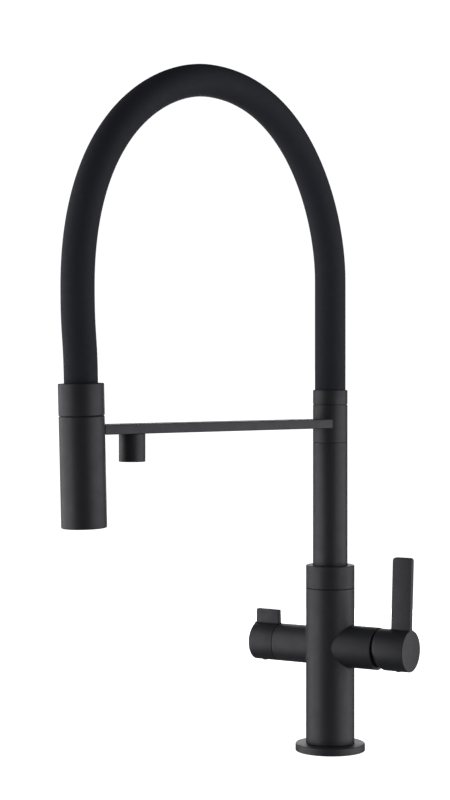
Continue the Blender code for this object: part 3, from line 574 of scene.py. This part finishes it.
def make_riser():
    riser = measure("riser_tube")
    high = riser.high + SEAM_COVER
    turned("riser", [(riser.inner, riser.low), (riser.outer, riser.low, 0.3),
                     (riser.outer, high, 0.25), (riser.inner, high, 0.2)],
           "black_coat", "riser", ["riser_tube"])


def lying(shape, height):
    """Turn a rod drawn about Z so that it runs along the arm at a height."""
    shape.transform(Matrix.Translation((0, 0, height)) @ Matrix.Rotation(pi / 2, 4, "Y"))
    return shape


def make_collar():
    """The arm's collar, with its ring channel and the port from there towards the bar."""
    collar, washer = measure("swivel_collar"), measure("collar_slide_washer")
    seat, seat_top = washer.outer + GAP, washer.high + GAP
    lip_r, lip_high, shoulder = collar.outer - 0.5, collar.high + SEAM_COVER, collar.high - 0.2
    port = lying(rod(PORT_R, PORT_START, PORT_END), CHANNEL_HIGH - PORT_DROP)
    turned("collar",
           [(seat, collar.low), (collar.outer, collar.low, 0.25), (collar.outer, shoulder, 0.25),
            (lip_r, shoulder), (lip_r, lip_high), (collar.inner, lip_high),
            (collar.inner, CHANNEL_HIGH), (CHANNEL_R, CHANNEL_HIGH), (CHANNEL_R, CHANNEL_LOW),
            (collar.inner, CHANNEL_LOW), (collar.inner, seat_top), (seat, seat_top)],
           "black_coat", "arm", ["swivel_collar"], ARM, cutters=[port])


def make_coupling():
    """The ring that holds the sleeve's foot on the collar."""
    ring, fitting = measure("hose_coupling_ring"), measure("hose_inlet_fitting")
    seat, sleeve_seat = fitting.outer + 0.4, SLEEVE_R + 0.35
    floor_high = SLEEVE_START - 0.7
    turned("coupling_ring",
           [(seat, ring.low), (ring.outer, ring.low, 0.25), (ring.outer, ring.high, 0.7),
            (sleeve_seat, ring.high, 0.3), (sleeve_seat, floor_high), (ring.inner, floor_high),
            (ring.inner, COUPLING_FLOOR), (seat, COUPLING_FLOOR)],
           "black_coat", "arm", ["hose_coupling_ring"], ARM)


def make_arm():
    """The flat bar, hollowed at its ends to a neat fit round the collar and the head."""
    outline = []
    for centre, radius, turn in ((0, measure("swivel_collar").outer + GAP, 0),
                                 (REACH, measure("spray_body", HEAD).outer + GAP, pi)):
        reach = asin(ARM_HALF / radius)
        for step in range(2 * HOLLOW_STEPS + 1):
            angle = turn - reach + reach * step / HOLLOW_STEPS
            outline.append((centre + radius * cos(angle), radius * sin(angle)))
    shape = bmesh.new()
    loops = [[shape.verts.new((x, y, corner.z)) for x, y in outline] for corner in box("dock_arm")]
    skin(shape, loops)
    for loop in loops:
        shape.faces.new(loop)
    bmesh.ops.recalc_face_normals(shape, faces=shape.faces)
    shape.normal_update()
    sharp = [edge for edge in shape.edges if edge.calc_face_angle() > radians(40)]
    bmesh.ops.bevel(shape, geom=sharp, offset=BAR_EDGE, segments=3, profile=0.5, affect="EDGES")

    magnet = frame["nodes"]["dock_magnet"].data
    corners = [ARM.inverted() @ (vert.co / MM) for vert in magnet.vertices]
    first, last = (Vector(pick(corner[axis] for corner in corners) for axis in range(3))
                   for pick in (min, max))
    half, low, high = last.y + GAP, first.z - GAP, last.z + GAP
    section = [(-half, low), (half, low), (half, high), (-half, high)]
    pocket = loft(bmesh.new(), [[Vector((x, y, z)) for y, z in section]
                                for x in (first.x - GAP, POCKET_END)])
    bore = lying(rod(BORE_IN_BAR_R, BORE_START, BORE_END), ARM_MID)
    piece("dock_bar", shape, "black_coat", "arm", ["dock_arm"], ARM, cutters=[pocket, bore])


def screen(name, rim_r, low, high, hole_r, slot, body, stands_for, place):
    """A disc with a hexagonal grid of blind holes in its underside, as on an aerator."""
    pitch, rows, columns, rim, beyond = hole_r * 2.5, 6, 9, 1.2, 1
    grid = [(pitch * (column + row / 2), pitch * row * sqrt(3) / 2)
            for row in range(-rows, rows + 1) for column in range(-columns, columns + 1)]
    centres = [point for point in grid if Vector(point).length < rim_r - rim - hole_r]
    depth = min(2.0, (high - low) / 3)
    corners = [(0, low + 0.5), (rim_r - 1.0, low + 0.5, 0.2), (rim_r - 0.9, low, 0.2),
               (rim_r, low, 0.3), (rim_r, high, 0.3), (0, high)]
    turned(name, corners, slot, body, stands_for, place, ROUND,
           cutters=[rod(hole_r, low - beyond, low + depth, 6, centres)])


def make_outlet():
    """The filtered water's outlet under the bar, with its screen."""
    outlet, insert = measure("filter_outlet", OUTLET), measure("filter_aerator", OUTLET)
    bore, roof = insert.outer + GAP, insert.high + GAP
    turned("filter_spout", [(bore, outlet.low), (outlet.outer, outlet.low, 0.45),
                            (outlet.outer, outlet.high), (outlet.inner, outlet.high),
                            (outlet.inner, roof), (bore, roof)],
           "black_coat", "arm", ["filter_outlet"], OUTLET)
    screen("filter_spout_screen", insert.outer, insert.low, insert.high, 0.65,
           "white_plastic", "arm", ["filter_aerator"], OUTLET)


# ---------------------------------------------------------------------------------- hose

def on_head_axis(height):
    """The point (x, z) of the leaning head's axis at a height, in the arm's plane."""
    return REACH + (height - ARM_MID) * tan(LEAN), height


# The hose's middle line (x, z) in the arm's plane: straight up to RISE, three Bezier bends, and
# straight down the head's axis from FOOT.
RISE, APEX, BULGE, FOOT = (0, 375), (128.5, 522.6), (252.5, 364.5), on_head_axis(304)
BENDS = ((RISE, (0, 430), (36, 522.6), APEX), (APEX, (174.5, 522.6), (252.5, 483), BULGE),
         (BULGE, (252.5, 330.5), on_head_axis(330), FOOT))
SLEEVE_R, SLEEVE_BORE, HOSE_R, HOSE_BORE = 12.25, 10.6, 6.0, 4.2
SLEEVE_START, SLEEVE_END, HOSE_START, HOSE_END = 284.3, 280.6, 290.0, 278.4
COIL_R, WIRE_R, COIL_PITCH, COIL_START, COIL_END = 8.7, 0.9, 20.0, 307.0, 297.0
COIL_STEPS, WIRE_SIDES = 24, 8  # points to a turn of the spring, and sides of its wire
TUBE_STEP, TUBE_EASE = 4.0, 0.3  # spacing of a tube's rings, and easing of its outer ends
BEND_POINTS = 81                # points along each Bezier bend


def route(start, end, step):
    """Evenly spaced points on the hose's middle line in the arm's plane, between two heights."""
    line = [Vector((0, 0, start))]
    for corners in BENDS:
        line += interpolate_bezier(*(Vector((x, 0, z)) for x, z in corners), BEND_POINTS)[:-1]
    line += [Vector((x, 0, z)) for x, z in (FOOT, on_head_axis(end))]
    lengths = [0.0]
    for before, after in zip(line, line[1:]):
        lengths.append(lengths[-1] + (after - before).length)
    count = round(lengths[-1] / step)
    points, span = [], 0
    for index in range(count + 1):
        along = lengths[-1] * index / count
        while span < len(line) - 2 and lengths[span + 1] < along:
            span += 1
        share = (along - lengths[span]) / (lengths[span + 1] - lengths[span])
        points.append(line[span].lerp(line[span + 1], share))
    return points


def side_of(points, index):
    """The in-plane normal of a route at one of its points."""
    ahead = points[min(index + 1, len(points) - 1)] - points[max(index - 1, 0)]
    return Vector((ahead.z, 0, -ahead.x)).normalized()


def bending(made):
    """Bake a piece's place into its mesh."""
    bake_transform(made)


def tube(name, start, end, outer, inner, sides, slot, node):
    """A tube along the route, open at both ends, with its outer ends eased."""
    points = route(start, end, TUBE_STEP)
    last, eased = len(points) - 1, outer - TUBE_EASE
    outside = [(0, eased), *((index, outer) for index in range(1, last)), (last, eased)]
    inside = [(index, inner) for index in range(last, -1, -1)]
    shape = bmesh.new()
    loops = []
    for index, radius in outside + inside:
        side = side_of(points, index)
        loops.append([shape.verts.new(points[index] + side * radius * cos(turn)
                                      + Vector((0, radius * sin(turn), 0)))
                      for turn in turns(sides)])
    skin(shape, loops, closed=True)
    bending(piece(name, shape, slot, None, [node], ARM))


def coil(name, start, end, slot, node):
    """The open spring inside the sleeve."""
    points = route(start, end, COIL_PITCH / COIL_STEPS)
    centres = []
    for index, point in enumerate(points):
        turn = 2 * pi * index / COIL_STEPS
        centres.append(point + side_of(points, index) * COIL_R * cos(turn)
                       + Vector((0, COIL_R * sin(turn), 0)))
    loops = []
    for index, centre in enumerate(centres):
        ahead = centres[min(index + 1, len(centres) - 1)] - centres[max(index - 1, 0)]
        ahead.normalize()
        across = ahead.cross(centre - points[index]).normalized()
        out = across.cross(ahead)
        loops.append([centre + (out * cos(turn) + across * sin(turn)) * WIRE_R
                      for turn in turns(WIRE_SIDES)])
    bending(piece(name, loft(bmesh.new(), loops), slot, None, [node], ARM))


def make_hose():
    tube("sleeve", SLEEVE_START, SLEEVE_END, SLEEVE_R, SLEEVE_BORE, ROUND,
         "silicone", "hose_sleeve")
    tube("water_hose", HOSE_START, HOSE_END, HOSE_R, HOSE_BORE, SMALL,
         "grey_plastic", "inner_hose")
    coil("spring", COIL_START, COIL_END, "steel", "hose_support_spring")


# ---------------------------------------------------------------------------------- spray head

NOZZLES, NOZZLE_CIRCLE, NOZZLE_HOLE_R = 8, 9.6, 1.1
NOZZLE_R, NOZZLE_TIP_R, NOZZLE_BORE_R, NOZZLE_LENGTH = 1.0, 0.75, 0.45, 0.9


def make_head():
    """The spray head's collar and shell, the plate with its soft nozzles, and the jet's screen."""
    collar, body = measure("spray_collar", HEAD), measure("spray_body", HEAD)
    face, jet = measure("spray_face", HEAD), measure("jet_aerator", HEAD)
    spigot_r, seam_top = body.inner - GAP, body.high + GAP
    nut_r, web_low, web_high, sleeve_seat = 10.0, HOSE_END + 0.1, SLEEVE_END - GAP, SLEEVE_R + 0.65
    turned("head_collar",
           [(nut_r, collar.low), (spigot_r, collar.low), (spigot_r, seam_top),
            (collar.outer - 0.5, seam_top), (collar.outer, seam_top + 0.6),
            (collar.outer, collar.high, 0.7), (sleeve_seat, collar.high, 0.4),
            (sleeve_seat, web_high), (collar.inner, web_high), (collar.inner, web_low),
            (nut_r, web_low)],
           "black_coat", "spray_head", ["spray_collar"], HEAD)
    turned("head_shell",
           [(body.inner, body.low, 0.4), (body.outer, body.low, 0.9), (body.outer, body.high - 0.6),
            (body.outer - 0.4, body.high), (body.inner, body.high)],
           "black_coat", "spray_head", ["spray_body"], HEAD)
    nozzles, beyond = around(NOZZLES, NOZZLE_CIRCLE), 1
    turned("nozzle_plate",
           [(face.inner, face.low, 0.2), (face.outer - 1.6, face.low, 0.4),
            (face.outer - 1.2, face.low + 0.6, 0.3), (face.outer, face.low + 0.6),
            (face.outer, face.high), (face.inner, face.high)],
           "grey_plastic", "spray_head", ["spray_face"], HEAD,
           cutters=[rod(NOZZLE_HOLE_R, face.low - beyond, face.high + beyond, TINY, nozzles)])
    nozzle_end = face.low - NOZZLE_LENGTH
    outline = rounded([(NOZZLE_BORE_R, nozzle_end), (NOZZLE_TIP_R, nozzle_end, 0.15),
                       (NOZZLE_R, face.low + 0.1), (NOZZLE_R, face.high),
                       (NOZZLE_BORE_R, face.high)])
    shape = bmesh.new()
    for centre in nozzles:
        spun(shape, outline, TINY, centre)
    piece("spray_nozzles", shape, "rubber", "spray_head", [], HEAD)
    screen("jet_screen", jet.outer, jet.low, jet.high, 0.55,
           "steel", "spray_head", ["jet_aerator"], HEAD)


# ---------------------------------------------------------------------------------- studio

CAMERA_AT = Vector((0.7395, -1.3630, 0.3060))
CAMERA_BEARING = radians(31.6)  # it looks along +Y, turned this far towards -X
LENS, SHIFT_X, SHIFT_Y = 87.1, 0.0003, -0.041  # focal length, and shares of the picture's side
ROOM_LIGHT, WHITE = 0.13, 1.05  # the room's own light, and what the camera sees of it
FLOOR_HALF, FLOOR_Z = 150, -0.0004  # so wide that its edge never shows, just under the flange
SOFTBOXES = {  # bearing and rise in degrees; distance, width and height in metres; watts
    "left_softbox": (-92, -3, 0.85, 1.35, 1.5, 11.2),
    "front_softbox": (-62, -14, 1.3, 0.5, 0.5, 0.9),
    "right_softbox": (79, -6, 1.1, 1.8, 1.5, 14.0),
    "back_softbox": (180, 0, 1.0, 0.7, 0.6, 2.8),
}
FROM_OBJECT = Vector((sin(CAMERA_BEARING), -cos(CAMERA_BEARING), 0))
TO_RIGHT = Vector((cos(CAMERA_BEARING), sin(CAMERA_BEARING), 0))


def make_camera():
    data = bpy.data.cameras.new("camera")
    data.lens = LENS
    data.shift_x, data.shift_y = SHIFT_X, SHIFT_Y
    made = bpy.data.objects.new("camera", data)
    made.location = CAMERA_AT
    made.rotation_euler = (pi / 2, 0, CAMERA_BEARING)
    bpy.context.scene.collection.objects.link(made)
    bpy.context.scene.camera = made


def softbox(name, bearing, rise, distance, width, height, power):
    """An area light that faces the tap: bearing 0 is the camera's side, 90 the picture's right."""
    target = (cad_low + cad_high) / 2
    turn = radians(bearing)
    away = FROM_OBJECT * cos(turn) + TO_RIGHT * sin(turn) + Vector((0, 0, tan(radians(rise))))
    data = bpy.data.lights.new(name, "AREA")
    data.shape = "RECTANGLE"
    data.size = width
    data.size_y = height
    data.energy = power
    made = bpy.data.objects.new(name, data)
    made.location = target + away * distance
    made.rotation_euler = (-away).to_track_quat("-Z", "Y").to_euler()
    made.visible_camera = False
    bpy.context.scene.collection.objects.link(made)


def make_world():
    """A dim room that is plain white where the camera sees it."""
    world = bpy.data.worlds.new("studio")
    world.use_nodes = True
    bpy.context.scene.world = world
    tree = world.node_tree
    background = tree.nodes["Background"]
    background.inputs["Color"].default_value = (1, 1, 1, 1)
    seen = tree.nodes.new("ShaderNodeLightPath").outputs["Is Camera Ray"]
    strength = spread(tree, seen, ROOM_LIGHT, WHITE, margin=0)
    tree.links.new(strength, background.inputs["Strength"])


def make_floor():
    """A pale floor that neither lights the tap nor shows in its gloss."""
    shape = bmesh.new()
    bmesh.ops.create_grid(shape, x_segments=8, y_segments=8, size=FLOOR_HALF)
    mesh = bpy.data.meshes.new("floor")
    shape.to_mesh(mesh)
    shape.free()
    floor = bpy.data.objects.new("floor", mesh)
    floor.location.z = FLOOR_Z
    bpy.context.scene.collection.objects.link(floor)
    pale = bpy.data.materials.new("pale_floor")
    pale.use_nodes = True
    shader = pale.node_tree.nodes["Principled BSDF"]
    shader.inputs["Base Color"].default_value = (0.80, 0.80, 0.80, 1)
    shader.inputs["Roughness"].default_value = 0.9
    shader.inputs["Specular IOR Level"].default_value = 0.1
    shader.inputs["Emission Color"].default_value = (1, 1, 1, 1)
    shader.inputs["Emission Strength"].default_value = WHITE
    mesh.materials.append(pale)
    floor.visible_diffuse = floor.visible_glossy = floor.visible_shadow = False


def make_studio():
    make_camera()
    make_world()
    make_floor()
    for name, settings in SOFTBOXES.items():
        softbox(name, *settings)
    bpy.context.scene.view_settings.view_transform = "Standard"


def main():
    make_studio()
    finish_frame()
    make_base()
    make_body()
    make_levers()
    make_riser()
    make_collar()
    make_coupling()
    make_arm()
    make_outlet()
    make_hose()
    make_head()


main()
